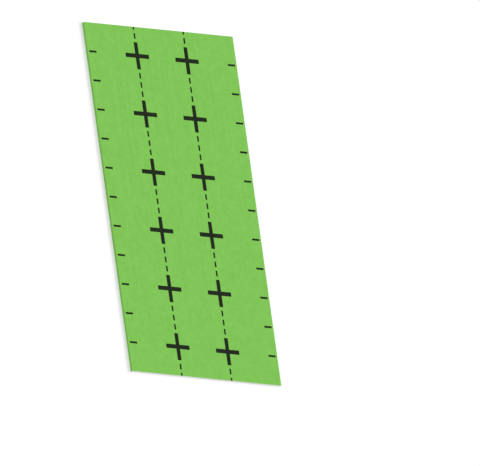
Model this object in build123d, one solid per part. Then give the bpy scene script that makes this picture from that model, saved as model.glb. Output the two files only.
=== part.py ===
from build123d import *

import os

# One sheet of green faced gypsum board, in millimetres. It lies on its back with its face up:
# X runs across its width, Y along its length and Z through its thickness.
# The origin is on the floor, under the middle of the sheet.

# Whole sheet
SHEET_WIDTH = 1220.0
SHEET_LENGTH = 2440.0
SHEET_THICKNESS = 15.9

# Long edges, where the face mat is folded down over the core and in under its back
FACE_FOLD_RADIUS = 2.0
BACK_FOLD_RADIUS = 1.2

# Back, where the back mat stops short of each long edge and leaves the folded mat bare
BARE_LAP_WIDTH = 14.0
BACK_MAT_THICKNESS = 0.5


def section_blank() -> Sketch:
    """Square section across the width, stepped in on the back where the folded mat lies bare."""
    slab = Rectangle(SHEET_WIDTH, SHEET_THICKNESS, align=(Align.CENTER, Align.MIN))
    bare_lap = Rectangle(BARE_LAP_WIDTH, BACK_MAT_THICKNESS, align=(Align.MAX, Align.MIN))
    right_lap = Pos(SHEET_WIDTH / 2, 0) * bare_lap
    return slab - right_lap - mirror(right_lap, about=Plane.YZ)


def wrapped_section() -> Sketch:
    """Section with its long edges rounded as the folded mat leaves them, wider at the face."""
    section = section_blank()
    face_corners = section.vertices().group_by(Axis.Y)[-1]
    section = fillet(face_corners, FACE_FOLD_RADIUS)
    columns = section.vertices().group_by(Axis.X)
    back_corners = [side.sort_by(Axis.Y)[0] for side in (columns[0], columns[-1])]
    return fillet(back_corners, BACK_FOLD_RADIUS)


def drywall_sheet() -> Part:
    """The whole sheet: the wrapped section run along the length, with both ends sawn square."""
    section = Plane.XZ * wrapped_section()
    return extrude(section, amount=SHEET_LENGTH / 2, both=True)


os.makedirs("parts", exist_ok=True)
export_step(drywall_sheet(), "parts/drywall_sheet.step")
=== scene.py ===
import logging
import math
from dataclasses import dataclass
from enum import Enum, IntEnum
from typing import ClassVar

import bmesh
import bpy
from mathutils import Matrix, Vector, noise


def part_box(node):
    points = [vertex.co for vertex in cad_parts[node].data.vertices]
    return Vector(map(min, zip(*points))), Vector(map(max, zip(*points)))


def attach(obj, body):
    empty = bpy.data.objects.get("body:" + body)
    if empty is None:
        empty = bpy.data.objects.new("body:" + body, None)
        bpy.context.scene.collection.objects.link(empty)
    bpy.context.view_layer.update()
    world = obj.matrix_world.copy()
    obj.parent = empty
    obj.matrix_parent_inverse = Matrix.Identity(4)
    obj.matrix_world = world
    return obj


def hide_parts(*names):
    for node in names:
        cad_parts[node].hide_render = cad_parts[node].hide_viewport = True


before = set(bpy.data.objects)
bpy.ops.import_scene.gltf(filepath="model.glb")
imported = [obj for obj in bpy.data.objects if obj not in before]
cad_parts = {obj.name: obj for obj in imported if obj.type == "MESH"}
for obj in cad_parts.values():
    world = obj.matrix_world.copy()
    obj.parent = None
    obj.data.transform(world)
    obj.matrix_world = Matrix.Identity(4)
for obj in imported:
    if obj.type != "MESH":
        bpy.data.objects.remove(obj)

LOG = logging.getLogger("drywall_sheet")

MM = 0.001
CAD_NODE = "drywall_sheet"
CAD_BODY = "root"

Colour = tuple[float, float, float, float]
Pixel = tuple[float, float]
Socket = bpy.types.NodeSocket
Feed = Socket | float | tuple
Feeds = dict[str | int, Feed]
Lines = list[bmesh.types.BMEdge]
Corners = list[bmesh.types.BMVert]

WHITE: Colour = (1.0, 1.0, 1.0, 1.0)
NOISE_MIDDLE = 0.5


class LongEdge(Enum):
    """The two long edges, by the side of X that they lie on."""

    LEFT = -1.0
    RIGHT = 1.0


class Axis(IntEnum):
    """The sheet's three directions, by their place in a vector."""

    WIDTH = 0
    LENGTH = 1
    HEIGHT = 2


class Side(Enum):
    """The sheet's six sides, by the way that each one faces."""

    NEAR_END = (0.0, -1.0, 0.0)
    FAR_END = (0.0, 1.0, 0.0)
    FACE = (0.0, 0.0, 1.0)
    BACK = (0.0, 0.0, -1.0)
    RIGHT = (1.0, 0.0, 0.0)
    LEFT = (-1.0, 0.0, 0.0)


class Rounded(Enum):
    """What a rounding is run over."""

    LINES = "EDGES"
    CORNERS = "VERTICES"


class Nodes:
    """Adds nodes to one node tree and feeds their sockets."""

    def __init__(self, tree: bpy.types.NodeTree) -> None:
        """Keeps the tree that the nodes go into.

        Args:
            tree: the tree of a material, a world or a node group.
        """
        self.tree = tree

    @classmethod
    def of(cls, owner: bpy.types.Material | bpy.types.World) -> "Nodes":
        """Empties the node tree of a material or a world.

        Args:
            owner: the material or the world.

        Returns:
            Its nodes, with none in the tree yet.
        """
        owner.use_nodes = True
        owner.node_tree.nodes.clear()
        return cls(owner.node_tree)

    def add(self, kind: str, feeds: Feeds | None = None, **options: object) -> bpy.types.Node:
        """Adds one node.

        Args:
            kind: the node's Blender type.
            feeds: what goes into its sockets, by their name or number.
            options: the node's own options.

        Returns:
            The new node.
        """
        node = self.tree.nodes.new(kind)
        for name, value in options.items():
            setattr(node, name, value)
        for socket, value in (feeds or {}).items():
            self.feed(node.inputs[socket], value)
        return node

    def feed(self, socket: Socket, value: Feed) -> None:
        """Links a socket, or sets its value.

        Args:
            socket: the input socket.
            value: an output socket, or a plain value.
        """
        if isinstance(value, Socket):
            self.tree.links.new(value, socket)
        else:
            socket.default_value = value

    def math(self, operation: str, *values: Feed, clamp: bool = False) -> Socket:
        """Adds a Math node.

        Args:
            operation: its operation.
            values: its inputs, in order.
            clamp: whether the result stays from 0 to 1.

        Returns:
            Its result.
        """
        feeds = dict(enumerate(values))
        return self.add("ShaderNodeMath", feeds, operation=operation, use_clamp=clamp).outputs[0]

    def blend(self, share: Feed, first: Feed, second: Feed) -> Socket:
        """Mixes two colours.

        Args:
            share: 0 for the first colour, 1 for the second.
            first: a colour.
            second: a colour.

        Returns:
            The mixed colour.
        """
        node = self.add("ShaderNodeMix", data_type="RGBA")
        inputs = {socket.identifier: socket for socket in node.inputs}
        self.feed(inputs["Factor_Float"], share)
        self.feed(inputs["A_Color"], first)
        self.feed(inputs["B_Color"], second)
        return next(socket for socket in node.outputs if socket.identifier == "Result_Color")

    def ramp(self, value: Feed, low: float, high: float, start: float, end: float) -> Socket:
        """Maps a value from one range to another, and keeps it inside.

        Args:
            value: the value.
            low: where its range starts.
            high: where its range ends.
            start: what the low end becomes.
            end: what the high end becomes.

        Returns:
            The mapped value.
        """
        feeds = dict(enumerate((value, low, high, start, end)))
        return self.add("ShaderNodeMapRange", feeds, clamp=True).outputs[0]

    def place(self) -> Socket:
        """Returns the place on the piece, in metres."""
        return self.add("ShaderNodeTexCoord").outputs["Object"]

    def noise(self, place: Feed, cell: Feed, detail: float) -> Socket:
        """Adds a noise pattern.

        Args:
            place: the place on the piece.
            cell: the pattern's size along X, Y and Z.
            detail: how many finer patterns it carries.

        Returns:
            Its level, near a half.
        """
        scaled = self.add("ShaderNodeVectorMath", {0: place, 1: cell}, operation="DIVIDE").outputs[0]
        feeds = {"Vector": scaled, "Scale": 1.0, "Detail": detail}
        return self.add("ShaderNodeTexNoise", feeds).outputs["Fac"]

    def relief(self, height: Socket, depth: float, share: float, sunk: bool = False) -> Socket:
        """Adds a Bump node.

        Args:
            height: the pattern, from 0 to 1.
            depth: how far its 1 lies from its 0, in metres.
            share: how much of that depth shows.
            sunk: whether its 1 lies below its 0.

        Returns:
            The surface's normal.
        """
        feeds = {"Strength": share, "Distance": depth, "Height": height}
        return self.add("ShaderNodeBump", feeds, invert=sunk).outputs[0]


@dataclass(frozen=True)
class FibreWeb:
    """Node group: the strands of a glass mat, which lie every way in the plane of the sheet."""

    name: str = "fibre_web"
    turns_deg: tuple[float, ...] = (8.0, 41.0, 79.0, 118.0, 153.0)
    sharpness: float = 9.0
    detail: float = 1.0

    def group(self) -> bpy.types.NodeTree:
        """Returns the group, built once."""
        return bpy.data.node_groups.get(self.name) or self._build()

    def _build(self) -> bpy.types.NodeTree:
        """Builds the group.

        Returns:
            A group that takes a strand's length and width in metres and puts out a mask of the strands.
        """
        tree = bpy.data.node_groups.new(self.name, "ShaderNodeTree")
        for socket in ("Strand Length", "Strand Width"):
            tree.interface.new_socket(socket, in_out="INPUT", socket_type="NodeSocketFloat")
        tree.interface.new_socket("Strands", in_out="OUTPUT", socket_type="NodeSocketFloat")
        nodes = Nodes(tree)
        sizes = nodes.add("NodeGroupInput").outputs
        width = sizes["Strand Width"]
        feeds = {"X": sizes["Strand Length"], "Y": width, "Z": width}
        cell = nodes.add("ShaderNodeCombineXYZ", feeds).outputs[0]
        place = nodes.place()
        strands: Feed = 0.0
        for turn in self.turns_deg:
            feeds = {"Vector": place, "Angle": math.radians(turn)}
            turned = nodes.add("ShaderNodeVectorRotate", feeds, rotation_type="Z_AXIS").outputs[0]
            off_middle = nodes.math("SUBTRACT", nodes.noise(turned, cell, self.detail), NOISE_MIDDLE)
            slope = nodes.math("MULTIPLY", nodes.math("ABSOLUTE", off_middle), self.sharpness)
            strands = nodes.math("MAXIMUM", strands, nodes.math("SUBTRACT", 1.0, slope, clamp=True))
        nodes.add("NodeGroupOutput", {"Strands": strands})
        return tree


@dataclass(frozen=True)
class CloudyTone:
    """Node group: soft clouds and faint lengthwise streaks, as a coating line leaves them."""

    name: str = "cloudy_tone"
    cloud: float = 34.0 * MM
    streak_width: float = 19.0 * MM
    streak_length: float = 1500.0 * MM
    streak_share: float = 0.35
    detail: float = 3.0
    level_range: tuple[float, float] = (0.3, 0.7)

    def group(self) -> bpy.types.NodeTree:
        """Returns the group, built once."""
        return bpy.data.node_groups.get(self.name) or self._build()

    def _build(self) -> bpy.types.NodeTree:
        """Builds the group.

        Returns:
            A group that puts out a tone from 0 to 1.
        """
        tree = bpy.data.node_groups.new(self.name, "ShaderNodeTree")
        tree.interface.new_socket("Tone", in_out="OUTPUT", socket_type="NodeSocketFloat")
        nodes = Nodes(tree)
        place = nodes.place()
        streak = (self.streak_width, self.streak_length, self.streak_width)
        clouds = nodes.noise(place, (self.cloud,) * 3, self.detail)
        streaks = nodes.noise(place, streak, self.detail)
        level = nodes.math("ADD", nodes.math("MULTIPLY", clouds, 1.0 - self.streak_share),
                           nodes.math("MULTIPLY", streaks, self.streak_share))
        nodes.add("NodeGroupOutput", {"Tone": nodes.ramp(level, *self.level_range, 0.0, 1.0)})
        return tree


@dataclass(frozen=True, kw_only=True)
class Finish:
    """What a piece is made of, as far as it shows."""

    name: str
    roughness: float
    shine: float = 0.1

    def material(self) -> bpy.types.Material:
        """Builds the material.

        Returns:
            A new material on the piece's own coordinates.
        """
        material = bpy.data.materials.new(self.name)
        nodes = Nodes.of(material)
        feeds = {"Specular IOR Level": self.shine, **self.surface(nodes)}
        shader = nodes.add("ShaderNodeBsdfPrincipled", feeds)
        nodes.add("ShaderNodeOutputMaterial", {"Surface": shader.outputs[0]})
        return material

    def surface(self, nodes: Nodes) -> Feeds:
        """Adds the nodes of the finish.

        Args:
            nodes: where the nodes go.

        Returns:
            What goes into the shader's sockets.
        """
        raise NotImplementedError


@dataclass(frozen=True, kw_only=True)
class FibreFinish(Finish):
    """A finish that shows the strands of a glass mat."""

    strand_length: float = 14.0 * MM
    strand_width: float = 0.7 * MM
    relief: float = 0.12 * MM
    relief_share: float = 0.5

    def strands(self, nodes: Nodes) -> Socket:
        """Adds the strands.

        Args:
            nodes: where the nodes go.

        Returns:
            1 on a strand and 0 between them.
        """
        feeds = {"Strand Length": self.strand_length, "Strand Width": self.strand_width}
        return nodes.add("ShaderNodeGroup", feeds, node_tree=FibreWeb().group()).outputs["Strands"]

    def raised(self, nodes: Nodes, strands: Socket) -> Socket:
        """Returns the normal of a surface that the strands stand out of."""
        return nodes.relief(strands, self.relief, self.relief_share)


@dataclass(frozen=True, kw_only=True)
class MatFinish(FibreFinish):
    """A glass mat under a matt coat."""

    coat: Colour
    shade: Colour
    strand: Colour
    strand_share: float = 0.5
    roughness_swing: float = 0.06

    def surface(self, nodes: Nodes) -> Feeds:
        """Adds a cloudy coat with paler strands.

        Args:
            nodes: where the nodes go.

        Returns:
            What goes into the shader's sockets.
        """
        strands = self.strands(nodes)
        tone = nodes.add("ShaderNodeGroup", node_tree=CloudyTone().group()).outputs["Tone"]
        coat = nodes.blend(tone, self.shade, self.coat)
        covered = nodes.math("MULTIPLY", strands, self.strand_share)
        rough, smooth = self.roughness + self.roughness_swing, self.roughness - self.roughness_swing
        return {
            "Base Color": nodes.blend(covered, coat, self.strand),
            "Roughness": nodes.ramp(tone, 0.0, 1.0, rough, smooth),
            "Normal": self.raised(nodes, strands),
        }


@dataclass(frozen=True, kw_only=True)
class InkFinish(FibreFinish):
    """Printing ink, thin over the strands of the mat below it."""

    ink: Colour
    thin_ink: Colour
    bare: Colour
    thin_share: float = 0.5
    speck: float = 1.3 * MM
    speck_detail: float = 2.0
    speck_range: tuple[float, float] = (0.69, 0.77)
    roughness_swing: float = 0.08

    def surface(self, nodes: Nodes) -> Feeds:
        """Adds ink that the strands show through, with specks where it didn't take.

        Args:
            nodes: where the nodes go.

        Returns:
            What goes into the shader's sockets.
        """
        strands = self.strands(nodes)
        thinned = nodes.math("MULTIPLY", strands, self.thin_share)
        film = nodes.blend(thinned, self.ink, self.thin_ink)
        grain = nodes.noise(nodes.place(), (self.speck,) * 3, self.speck_detail)
        specks = nodes.ramp(grain, *self.speck_range, 0.0, 1.0)
        dry = self.roughness + self.roughness_swing
        return {
            "Base Color": nodes.blend(specks, film, self.bare),
            "Roughness": nodes.ramp(strands, 0.0, 1.0, self.roughness, dry),
            "Normal": self.raised(nodes, strands),
        }


@dataclass(frozen=True, kw_only=True)
class GypsumFinish(Finish):
    """Sawn foamed gypsum, with fine pores of several sizes, painted grey inside as painted shade."""

    chalk: Colour
    # painted shade: the grey painted into the pores, where the pits would lie in shadow
    painted_pore_shade: Colour
    pore_pitches: tuple[float, ...] = (0.3 * MM, 0.5 * MM, 0.9 * MM)
    pore_rim: tuple[float, float] = (0.14, 0.34)
    smallness: float = 3.0
    relief: float = 0.2 * MM
    relief_share: float = 0.6
    roughness_swing: float = 0.05

    def surface(self, nodes: Nodes) -> Feeds:
        """Adds chalk with sunk pores, whose grey is painted shade in the pits.

        Args:
            nodes: where the nodes go.

        Returns:
            What goes into the shader's sockets.
        """
        pores: Feed = 0.0
        for pitch in self.pore_pitches:
            pores = nodes.math("MAXIMUM", pores, self._pores(nodes, pitch))
        dry = self.roughness + self.roughness_swing
        return {
            # the pores are painted grey: painted shade in the pits, on top of the sunk bump
            "Base Color": nodes.blend(pores, self.chalk, self.painted_pore_shade),
            "Roughness": nodes.ramp(pores, 0.0, 1.0, self.roughness, dry),
            "Normal": nodes.relief(pores, self.relief, self.relief_share, sunk=True),
        }

    def _pores(self, nodes: Nodes, pitch: float) -> Socket:
        """Adds the pores of one pitch, most of them small.

        Args:
            nodes: where the nodes go.
            pitch: how far apart they lie.

        Returns:
            1 in a pore and 0 between them.
        """
        feeds = {"Vector": nodes.place(), "Scale": 1.0 / pitch}
        cells = nodes.add("ShaderNodeTexVoronoi", feeds).outputs
        chance = nodes.add("ShaderNodeSeparateColor", {0: cells["Color"]}).outputs[0]
        reach = nodes.math("DIVIDE", cells["Distance"], nodes.math("POWER", chance, self.smallness))
        return nodes.ramp(reach, *self.pore_rim, 1.0, 0.0)


GREEN_MAT = MatFinish(
    name="green_mat",
    roughness=0.78,
    coat=(0.222, 0.582, 0.095, 1.0),
    shade=(0.171, 0.477, 0.064, 1.0),
    strand=(0.235, 0.592, 0.106, 1.0),
)
PALE_MAT = MatFinish(
    name="pale_mat",
    roughness=0.85,
    coat=(0.74, 0.74, 0.69, 1.0),
    shade=(0.63, 0.63, 0.58, 1.0),
    strand=(0.82, 0.82, 0.79, 1.0),
)
BLACK_INK = InkFinish(
    name="black_ink",
    roughness=0.6,
    shine=0.05,
    ink=(0.006, 0.008, 0.005, 1.0),
    thin_ink=(0.016, 0.028, 0.011, 1.0),
    bare=GREEN_MAT.shade,
)
SAWN_GYPSUM = GypsumFinish(
    name="sawn_gypsum",
    roughness=0.9,
    chalk=(0.88, 0.875, 0.86, 1.0),
    # painted shade in the pores, darker than the chalk
    painted_pore_shade=(0.70, 0.69, 0.67, 1.0),
)


@dataclass(frozen=True)
class SheetSizes:
    """Sizes that the layers of the sheet share, in metres."""

    width: float
    length: float
    thickness: float
    mat: float = 0.5 * MM
    ink: float = 0.2 * MM
    face_fold: float = 2.0 * MM
    back_fold: float = 1.2 * MM
    bare_lap: float = 14.0 * MM
    flange: float = 26.0 * MM
    tolerance: float = 0.1 * MM

    @classmethod
    def from_frame(cls) -> "SheetSizes":
        """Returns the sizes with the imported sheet's width, length and thickness."""
        low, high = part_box(CAD_NODE)
        return cls(*(high - low))


def flat_grid(mesh: bmesh.types.BMesh, place: Matrix, size: tuple[float, float],
              cells: tuple[int, int] = (1, 1)) -> Corners:
    """Makes a flat rectangle of even cells.

    Args:
        mesh: the shape that it goes into.
        place: where its middle lies and how it is turned.
        size: its two sides.
        cells: how many cells lie along each side.

    Returns:
        Its vertices.
    """
    made = bmesh.ops.create_grid(mesh, x_segments=cells[0], y_segments=cells[1], size=0.5,
                                 matrix=place @ Matrix.Diagonal((*size, 1.0, 1.0)))
    return made["verts"]


def new_vertices(made: dict[str, list]) -> Corners:
    """Picks the vertices out of what an extrusion made.

    Args:
        made: the extrusion's result.

    Returns:
        Its new vertices.
    """
    return [part for part in made["geom"] if isinstance(part, bmesh.types.BMVert)]


def round_off(mesh: bmesh.types.BMesh, parts: Lines | Corners, kind: Rounded,
              radius: float, segments: int) -> None:
    """Rounds lines or corners of a shape.

    Args:
        mesh: the shape.
        parts: the lines or the corners.
        kind: which of the two they are.
        radius: how far the rounding reaches.
        segments: how many flats it is made of.
    """
    bmesh.ops.bevel(mesh, geom=parts, offset=radius, offset_type="OFFSET", segments=segments,
                    profile=0.5, affect=kind.value, material=-1)


def new_object(name: str, shape: bmesh.types.BMesh, material: bpy.types.Material) -> bpy.types.Object:
    """Makes an object of the scene out of a shape.

    Args:
        name: the object's name.
        shape: its shape, which is used up.
        material: its material.

    Returns:
        The object, at the origin.
    """
    data = bpy.data.meshes.new(name)
    shape.to_mesh(data)
    shape.free()
    data.materials.append(material)
    made = bpy.data.objects.new(name, data)
    bpy.context.scene.collection.objects.link(made)
    return made


@dataclass(frozen=True)
class MapBand:
    """A band of a flat map, which holds one side of a piece in rows."""

    side: Side
    along: Axis
    up: Axis
    height_share: float
    rows: int = 1


@dataclass(frozen=True)
class FlatMap:
    """A flat map of a piece, with a band across it for each side."""

    bands: tuple[MapBand, ...]
    name: str = "OFBake"
    end_margin_share: float = 0.01
    row_margin_share: float = 0.04

    def lay(self, mesh: bmesh.types.BMesh) -> None:
        """Gives every face of a piece its place on the map.

        Args:
            mesh: the piece, with its faces pointing outwards.
        """
        places = mesh.loops.layers.uv.new(self.name)
        to_shares = self._to_shares(mesh)
        for face in mesh.faces:
            band = max(self.bands, key=lambda other: face.normal.dot(other.side.value))
            base = sum(other.height_share for other in self.bands[:self.bands.index(band)])
            row = int(band.rows * (to_shares @ face.calc_center_median())[band.along])
            for loop in face.loops:
                shares = to_shares @ loop.vert.co
                along = self._inset(band.rows * shares[band.along] - row, self.end_margin_share)
                up = row + self._inset(shares[band.up], self.row_margin_share)
                loop[places].uv = (along, base + up * band.height_share / band.rows)

    @staticmethod
    def _to_shares(mesh: bmesh.types.BMesh) -> Matrix:
        """Measures a piece.

        Args:
            mesh: the piece.

        Returns:
            What turns a place on the piece into shares of its width, length and height.
        """
        spans = [[vertex.co[axis] for vertex in mesh.verts] for axis in Axis]
        low = Vector([min(span) for span in spans])
        high = Vector([max(span) for span in spans])
        return Matrix.Diagonal((*[1.0 / side for side in high - low], 1.0)) @ Matrix.Translation(-low)

    @staticmethod
    def _inset(share: float, margin: float) -> float:
        """Returns a share of a length that has a margin at both ends."""
        return margin + (1.0 - 2.0 * margin) * share


@dataclass
class Layer:
    """One bonded layer of the sheet."""

    sizes: SheetSizes
    finish: Finish
    name: ClassVar[str] = "layer"
    slot: ClassVar[str | None] = None

    def shape(self, mesh: bmesh.types.BMesh) -> None:
        """Makes the layer's shape.

        Args:
            mesh: an empty bmesh, which gets the shape.
        """
        raise NotImplementedError

    def build(self) -> bpy.types.Object:
        """Builds the layer, dresses it and joins it to the sheet.

        Returns:
            The layer's object.
        """
        shape = bmesh.new()
        self.shape(shape)
        piece = new_object(self.name, shape, self.finish.material())
        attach(piece, CAD_BODY)
        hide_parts(CAD_NODE)
        LOG.info("%s: %d faces in %s", self.name, len(piece.data.polygons), self.finish.name)
        return piece


@dataclass
class FaceMat(Layer):
    """The green mat, which covers the face and is folded round both long edges onto the back."""

    name: ClassVar[str] = "face_mat"
    slot: ClassVar[str | None] = "facing"
    step: float = 20.0 * MM
    face_segments: int = 6
    back_segments: int = 4

    def shape(self, mesh: bmesh.types.BMesh) -> None:
        """Folds a flat mat round the core and gives it its thickness.

        Args:
            mesh: an empty bmesh, which gets the shape.
        """
        sizes = self.sizes
        top = sizes.thickness - sizes.ink
        cells = (round(sizes.width / self.step), round(sizes.length / self.step))
        flat_grid(mesh, Matrix.Translation((0.0, 0.0, top)), (sizes.width, sizes.length), cells)
        for edge in LongEdge:
            rim = [line for line in mesh.edges if line.is_boundary and self._on_side(line, edge)]
            foot = self._run_on(mesh, rim, Vector((0.0, 0.0, sizes.mat - top)))
            self._run_on(mesh, foot, Vector((-edge.value * sizes.flange, 0.0, 0.0)))
            round_off(mesh, rim, Rounded.LINES, sizes.face_fold, self.face_segments)
            round_off(mesh, foot, Rounded.LINES, sizes.back_fold, self.back_segments)
        bmesh.ops.recalc_face_normals(mesh, faces=mesh.faces)
        highest = max(mesh.faces, key=lambda face: face.calc_center_median().z)
        if highest.normal.z < 0.0:
            bmesh.ops.reverse_faces(mesh, faces=mesh.faces)
        bmesh.ops.solidify(mesh, geom=mesh.faces, thickness=sizes.mat)

    def _on_side(self, line: bmesh.types.BMEdge, edge: LongEdge) -> bool:
        """Tells whether a line of the mesh lies on a long edge of the sheet."""
        inner = self.sizes.width / 2 - self.sizes.mat
        return all(corner.co.x * edge.value > inner for corner in line.verts)

    @staticmethod
    def _run_on(mesh: bmesh.types.BMesh, rim: Lines, way: Vector) -> Lines:
        """Runs the mat on from one of its rims.

        Args:
            mesh: the mat.
            rim: the lines that it runs on from.
            way: how far and which way.

        Returns:
            The new rim.
        """
        made = bmesh.ops.extrude_edge_only(mesh, edges=rim)
        corners = new_vertices(made)
        bmesh.ops.translate(mesh, verts=corners, vec=way)
        known = set(corners)
        return [part for part in made["geom"]
                if isinstance(part, bmesh.types.BMEdge) and known.issuperset(part.verts)]


@dataclass
class BackMat(Layer):
    """The pale mat on the back, whose long edges wander a little and stop short of the sheet's."""

    name: ClassVar[str] = "back_mat"
    easing: float = 0.15 * MM
    segments: int = 2
    step: float = 30.0 * MM
    wander: float = 1.0 * MM
    wander_length: float = 210.0 * MM

    def shape(self, mesh: bmesh.types.BMesh) -> None:
        """Makes a thin mat with eased long edges and lets them wander.

        Args:
            mesh: an empty bmesh, which gets the shape.
        """
        sizes = self.sizes
        middle = Matrix.Translation((0.0, 0.0, sizes.mat / 2))
        spans = Matrix.Diagonal((sizes.width - 2 * sizes.bare_lap, sizes.length, sizes.mat, 1.0))
        bmesh.ops.create_cube(mesh, size=1.0, matrix=middle @ spans)
        round_off(mesh, self._long_lines(mesh), Rounded.LINES, self.easing, self.segments)
        cuts = round(sizes.length / self.step) - 1
        bmesh.ops.subdivide_edges(mesh, edges=self._long_lines(mesh), cuts=cuts)
        for vertex in mesh.verts:
            x, y, _ = vertex.co
            mark = Vector((math.copysign(sizes.width, x), y / self.wander_length, sizes.length))
            vertex.co.x += self.wander * noise.noise(mark)

    def _long_lines(self, mesh: bmesh.types.BMesh) -> Lines:
        """Returns the lines that run from end to end of the mat."""
        half = self.sizes.length / 2
        return [line for line in mesh.edges if abs(line.verts[0].co.y - line.verts[1].co.y) > half]


@dataclass
class GypsumCore(Layer):
    """The white core, which fills the folded mat and is bare and a little rough at both sawn ends."""

    name: ClassVar[str] = "gypsum_core"
    cell: float = 1.7 * MM
    recess: float = 0.3 * MM
    saw_depth: float = 0.25 * MM
    saw_pitch: float = 2.6 * MM
    saw_height: float = 7.0 * MM
    corner_segments: int = 4
    flat_map: ClassVar[FlatMap] = FlatMap((
        MapBand(side=Side.NEAR_END, along=Axis.WIDTH, up=Axis.HEIGHT, height_share=0.33, rows=5),
        MapBand(side=Side.FAR_END, along=Axis.WIDTH, up=Axis.HEIGHT, height_share=0.33, rows=5),
        MapBand(side=Side.FACE, along=Axis.LENGTH, up=Axis.WIDTH, height_share=0.12),
        MapBand(side=Side.BACK, along=Axis.LENGTH, up=Axis.WIDTH, height_share=0.12),
        MapBand(side=Side.RIGHT, along=Axis.LENGTH, up=Axis.HEIGHT, height_share=0.05),
        MapBand(side=Side.LEFT, along=Axis.LENGTH, up=Axis.HEIGHT, height_share=0.05),
    ))

    def shape(self, mesh: bmesh.types.BMesh) -> None:
        """Cuts the core's section as a fine grid, runs it along the sheet and roughens the ends.

        Args:
            mesh: an empty bmesh, which gets the shape.
        """
        near = self.recess - self.sizes.length / 2
        self._section(mesh, near)
        made = bmesh.ops.extrude_face_region(mesh, geom=mesh.faces[:])
        bmesh.ops.translate(mesh, verts=new_vertices(made), vec=(0.0, -2 * near, 0.0))
        bmesh.ops.recalc_face_normals(mesh, faces=mesh.faces)
        self.flat_map.lay(mesh)
        for vertex in mesh.verts:
            x, y, z = vertex.co
            mark = Vector((x / self.saw_pitch, y / self.sizes.width, z / self.saw_height))
            vertex.co.y += self.saw_depth * noise.noise(mark)

    def _section(self, mesh: bmesh.types.BMesh, near: float) -> None:
        """Makes the section at the near end, which steps down between the mat's two flanges.

        Args:
            mesh: an empty bmesh, which gets the section.
            near: where the near end lies along the sheet.
        """
        sizes = self.sizes
        low, high = 2 * sizes.mat, sizes.thickness - sizes.ink - sizes.mat
        width, height = sizes.width - 2 * sizes.mat, high - low
        stand = Matrix.Translation((0.0, near, (low + high) / 2)) @ Matrix.Rotation(math.pi / 2, 4, "X")
        flat_grid(mesh, stand, (width, height), (round(width / self.cell), round(height / self.cell)))
        reach = sizes.width / 2 - sizes.flange
        for edge in LongEdge:
            bmesh.ops.bisect_plane(mesh, geom=mesh.faces[:] + mesh.edges[:] + mesh.verts[:],
                                   plane_co=(edge.value * reach, 0.0, 0.0), plane_no=(1.0, 0.0, 0.0))
        rim = [line for line in mesh.edges if line.is_boundary]
        sole = [line for line in rim if all(self._on_sole(corner, low, reach) for corner in line.verts)]
        made = bmesh.ops.extrude_edge_only(mesh, edges=sole)
        bmesh.ops.translate(mesh, verts=new_vertices(made), vec=(0.0, 0.0, -sizes.mat))
        for level, radius in ((high, sizes.face_fold - sizes.mat), (low, sizes.back_fold - sizes.mat)):
            corners = [corner for corner in mesh.verts
                       if abs(corner.co.z - level) < sizes.tolerance
                       and abs(corner.co.x) > width / 2 - sizes.tolerance]
            round_off(mesh, corners, Rounded.CORNERS, radius, self.corner_segments)

    def _on_sole(self, vertex: bmesh.types.BMVert, low: float, reach: float) -> bool:
        """Tells whether a vertex lies on the section's foot between the flanges."""
        slack = self.sizes.tolerance
        return vertex.co.z < low + slack and abs(vertex.co.x) < reach + slack


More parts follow.
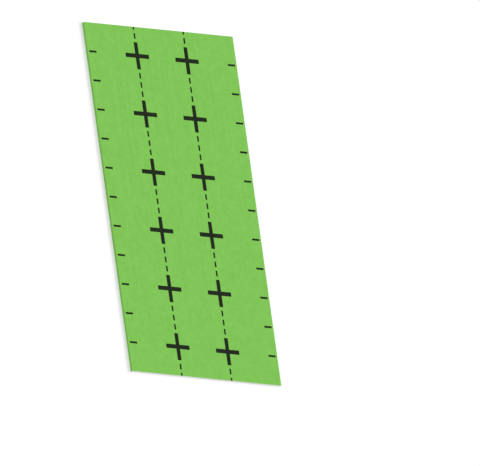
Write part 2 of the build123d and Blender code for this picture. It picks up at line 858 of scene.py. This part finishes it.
@dataclass
class FixingMarks(Layer):
    """Plain marks printed on the face, which show where to fix the sheet.

    A dashed line runs over each stud, a cross marks each screw, and ticks stand along the long edges.
    """

    name: ClassVar[str] = "fixing_marks"
    rows: int = 6
    stud_bays: int = 3
    cross: float = 190.0 * MM
    cross_stroke: float = 30.0 * MM
    dashes: int = 3
    dash_gap: float = 24.0 * MM
    dash_stroke: float = 13.0 * MM
    ticks_per_row: int = 2
    tick: float = 60.0 * MM
    tick_stroke: float = 14.0 * MM
    tick_inset: float = 14.0 * MM
    rounding: float = 3.0 * MM
    rounding_segments: int = 3

    def shape(self, mesh: bmesh.types.BMesh) -> None:
        """Lays every mark flat on the mat and gives it the ink's thickness.

        Args:
            mesh: an empty bmesh, which gets the shape.
        """
        sizes = self.sizes
        near, pitch = -sizes.length / 2, sizes.length / self.rows
        for edge in LongEdge:
            stud = edge.value * sizes.width / self.stud_bays / 2
            for row in range(self.rows):
                self._cross(mesh, Vector((stud, near + (row + 0.5) * pitch)))
            for row in range(self.rows + 1):
                self._dashes(mesh, Vector((stud, near + row * pitch)), pitch - self.cross)
            aside = edge.value * (sizes.width / 2 - self.tick_inset - self.tick / 2)
            for tick in range(1, self.rows * self.ticks_per_row):
                centre = Vector((aside, near + tick * pitch / self.ticks_per_row))
                self._bar(mesh, centre, Vector((self.tick, self.tick_stroke)))
        made = bmesh.ops.extrude_face_region(mesh, geom=mesh.faces[:])
        bmesh.ops.translate(mesh, verts=new_vertices(made), vec=(0.0, 0.0, sizes.ink))
        bmesh.ops.recalc_face_normals(mesh, faces=mesh.faces)

    def _on_mat(self, centre: Vector) -> Matrix:
        """Returns the place on the mat of a point of the face."""
        return Matrix.Translation((*centre, self.sizes.thickness - self.sizes.ink))

    def _cross(self, mesh: bmesh.types.BMesh, centre: Vector) -> None:
        """Draws a cross by running four arms out of a square.

        Args:
            mesh: the marks.
            centre: its place across and along the sheet.
        """
        square = flat_grid(mesh, self._on_mat(centre), (self.cross_stroke, self.cross_stroke))
        sides = square[0].link_faces[0].edges[:]
        for side in sides:
            out = (side.verts[0].co + side.verts[1].co).xy / 2 - centre
            tips = new_vertices(bmesh.ops.extrude_edge_only(mesh, edges=[side]))
            reach = out.normalized() * (self.cross - self.cross_stroke) / 2
            bmesh.ops.translate(mesh, verts=tips, vec=reach.to_3d())
            self._round(mesh, tips)

    def _dashes(self, mesh: bmesh.types.BMesh, middle: Vector, room: float) -> None:
        """Draws the dashes between two crosses.

        Args:
            mesh: the marks.
            middle: the place half-way between the crosses.
            room: the length between their tips.
        """
        length = (room - (self.dashes + 1) * self.dash_gap) / self.dashes
        for dash in range(self.dashes):
            along = (dash - (self.dashes - 1) / 2) * (length + self.dash_gap)
            self._bar(mesh, middle + Vector((0.0, along)), Vector((self.dash_stroke, length)))

    def _bar(self, mesh: bmesh.types.BMesh, centre: Vector, size: Vector) -> None:
        """Draws a bar, as far as it lies on the sheet.

        Args:
            mesh: the marks.
            centre: its place across and along the sheet.
            size: its size across and along the sheet.
        """
        end = self.sizes.length / 2
        low = max(centre.y - size.y / 2, -end)
        high = min(centre.y + size.y / 2, end)
        if low >= high:
            return
        place = self._on_mat(Vector((centre.x, (low + high) / 2)))
        corners = flat_grid(mesh, place, (size.x, high - low))
        self._round(mesh, [corner for corner in corners if abs(corner.co.y) < end - self.rounding])

    def _round(self, mesh: bmesh.types.BMesh, corners: Corners) -> None:
        """Rounds corners of a mark."""
        round_off(mesh, corners, Rounded.CORNERS, self.rounding, self.rounding_segments)


@dataclass(frozen=True)
class PhotoCamera:
    """A camera with a parallel view, which puts three corners of the sheet's face on their pixels."""

    name: ClassVar[str] = "photo_camera"
    far_left_px: Pixel = (83.5, 21.8)
    far_right_px: Pixel = (232.8, 36.7)
    near_left_px: Pixel = (132.2, 370.8)
    image_px: Pixel = (480.0, 466.0)
    distance: float = 20.0

    def build(self, sizes: SheetSizes) -> bpy.types.Object:
        """Makes the scene's camera.

        Args:
            sizes: the sheet's sizes.

        Returns:
            The camera.
        """
        corner = Vector(self.far_left_px)
        across = (Vector(self.far_right_px) - corner) / sizes.width
        down = (Vector(self.near_left_px) - corner) / sizes.length
        scale = self._pixels_per_metre(across, down)
        centre_px = (Vector(self.far_right_px) + Vector(self.near_left_px)) / 2
        aside = (centre_px - Vector(self.image_px) / 2) / scale
        data = bpy.data.cameras.new(self.name)
        data.type = "ORTHO"
        data.ortho_scale = max(self.image_px) / scale
        camera = bpy.data.objects.new(self.name, data)
        camera.matrix_world = (Matrix.Translation((0.0, 0.0, sizes.thickness))
                               @ self._turn(across / scale, down / scale).to_4x4()
                               @ Matrix.Translation((-aside.x, aside.y, self.distance)))
        bpy.context.scene.collection.objects.link(camera)
        bpy.context.scene.camera = camera
        LOG.info("%s: %.1f pixels a metre", self.name, scale)
        return camera

    @staticmethod
    def _pixels_per_metre(across: Vector, down: Vector) -> float:
        """Finds the scale at which two image vectors can be the sides of a right angle.

        Args:
            across: pixels for each metre along the width.
            down: pixels for each metre along the length.

        Returns:
            Pixels for each metre that lies square to the view.
        """
        total = across.length_squared + down.length_squared
        spread = across.x * down.y - across.y * down.x
        return math.sqrt((total + math.sqrt(total ** 2 - 4.0 * spread ** 2)) / 2.0)

    @staticmethod
    def _turn(across: Vector, down: Vector) -> Matrix:
        """Turns the camera so that it sees the sheet's sides as they lie in the image.

        Args:
            across: the image of a metre along the width, which runs away from the camera.
            down: the image of a metre along the length, which runs towards the camera.

        Returns:
            The camera's turn.
        """
        right = Vector((*across, math.sqrt(1.0 - across.length_squared)))
        near = Vector((*down, -math.sqrt(1.0 - down.length_squared)))
        axes = Matrix((right, -near, near.cross(right)))
        return axes @ Matrix.Diagonal((1.0, -1.0, -1.0))


@dataclass(frozen=True)
class Studio:
    """A white floor under soft even light, with a low sun for the shadow."""

    fill: float = 0.75
    sun: float = 0.25
    sun_from_deg: float = 10.0
    sun_height_deg: float = 26.0
    sun_spread_deg: float = 26.0
    floor_size: float = 400.0
    floor_white: float = 0.9
    white_margin: float = 0.03

    def build(self) -> None:
        """Makes the floor, the surrounding light and the sun."""
        self._floor()
        self._surround()
        self._sun()
        bpy.context.scene.view_settings.view_transform = "Standard"
        LOG.info("studio: fill %.2f, sun %.2f", self.fill, self.sun)

    def _floor(self) -> None:
        """Lays a wide floor that the camera sees as white, with the sheet's shadow on it."""
        material = bpy.data.materials.new("white_floor")
        nodes = Nodes.of(material)
        white = self.floor_white
        diffuse = nodes.add("ShaderNodeBsdfDiffuse", {"Color": (white, white, white, 1.0)})
        lift = nodes.math("MULTIPLY", self._seen(nodes), 1.0 + self.white_margin - white)
        glow = nodes.add("ShaderNodeEmission", {"Color": WHITE, "Strength": lift})
        both = nodes.add("ShaderNodeAddShader", {0: diffuse.outputs[0], 1: glow.outputs[0]})
        nodes.add("ShaderNodeOutputMaterial", {"Surface": both.outputs[0]})
        shape = bmesh.new()
        flat_grid(shape, Matrix(), (self.floor_size, self.floor_size))
        new_object("floor", shape, material)

    def _surround(self) -> None:
        """Lights the scene from all round, and shows the camera plain white."""
        world = bpy.data.worlds.new("surround")
        nodes = Nodes.of(world)
        light = nodes.add("ShaderNodeBackground", {"Color": WHITE, "Strength": self.fill})
        plain = nodes.add("ShaderNodeBackground", {"Color": WHITE, "Strength": 1.0})
        shares = {0: self._seen(nodes), 1: light.outputs[0], 2: plain.outputs[0]}
        both = nodes.add("ShaderNodeMixShader", shares)
        nodes.add("ShaderNodeOutputWorld", {"Surface": both.outputs[0]})
        bpy.context.scene.world = world

    @staticmethod
    def _seen(nodes: Nodes) -> Socket:
        """Returns 1 for rays that the camera sends, straight or off a gloss, and 0 for the rest."""
        rays = nodes.add("ShaderNodeLightPath").outputs
        mirrored = nodes.math("MAXIMUM", rays["Is Glossy Ray"], rays["Is Transmission Ray"])
        return nodes.math("MAXIMUM", rays["Is Camera Ray"], mirrored)

    def _sun(self) -> None:
        """Hangs the sun, whose share of the light on a level face is set."""
        height = math.radians(self.sun_height_deg)
        data = bpy.data.lights.new("sun", "SUN")
        data.energy = self.sun * math.pi / math.sin(height)
        data.angle = math.radians(self.sun_spread_deg)
        sun = bpy.data.objects.new("sun", data)
        sun.rotation_euler = (math.pi / 2 - height, 0.0, math.pi / 2 + math.radians(self.sun_from_deg))
        bpy.context.scene.collection.objects.link(sun)


def main() -> None:
    """Builds the sheet's layers, the studio and the camera in order."""
    logging.basicConfig(level=logging.INFO, format="%(name)s: %(message)s")
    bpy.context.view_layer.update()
    sizes = SheetSizes.from_frame()
    layers = (FaceMat(sizes, GREEN_MAT), FixingMarks(sizes, BLACK_INK),
              GypsumCore(sizes, SAWN_GYPSUM), BackMat(sizes, PALE_MAT))
    for layer in layers:
        layer.build()
    Studio().build()
    PhotoCamera().build(sizes)


if __name__ == "__main__":
    main()
